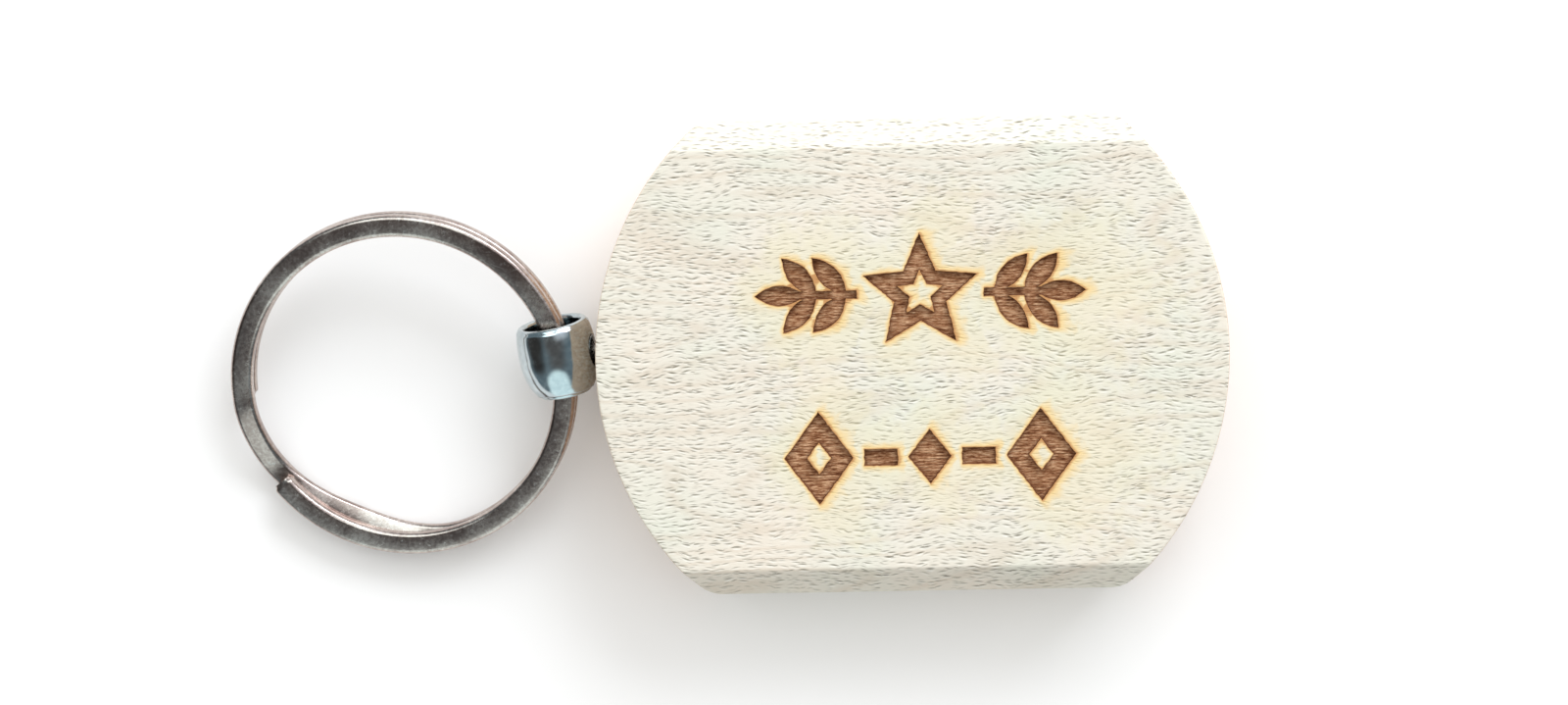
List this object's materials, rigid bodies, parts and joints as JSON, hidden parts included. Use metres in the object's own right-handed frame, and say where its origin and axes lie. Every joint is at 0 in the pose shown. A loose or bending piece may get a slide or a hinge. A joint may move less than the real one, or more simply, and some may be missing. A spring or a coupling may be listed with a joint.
{
  "type": "wooden name-plate key fob",
  "caption": "Engraved hardwood name plate with bevelled long edges, hung from a split key ring through a swivelling steel barrel.",
  "frame": {"origin": "middle of the wooden blank's back face", "axes": "+X along the blank away from the ring, +Y up the engraving, +Z out of the engraved face"},
  "size_m": [0.0851, 0.04, 0.01],
  "materials": {
    "hardwood": "sanded, unvarnished pale hardwood with laser-burnt engraving",
    "pin_steel": "plain steel",
    "barrel_nickel": "polished nickel plate",
    "ring_nickel": "nickel-plated spring steel, tumbled, with fine scratches"
  },
  "bodies": {
    "fob": {"wood_blank": "hardwood", "swivel_pin": "pin_steel"},
    "barrel": {"swivel_barrel": "barrel_nickel"},
    "ring": {"split_ring": "ring_nickel"}
  },
  "joints": [
    {"name": "barrel_swivel", "type": "hinge", "parent": "fob", "child": "barrel", "pos_m": [-0.03007, 0.00018, 0.005], "axis": [-0.9863, -0.165, 0], "continuous": true},
    {"name": "ring_swing", "type": "hinge", "parent": "barrel", "child": "ring", "pos_m": [-0.03007, 0.00018, 0.005], "axis": [-0.1632, 0.9755, 0.1478], "range_deg": [-105, 115]}
  ]
}
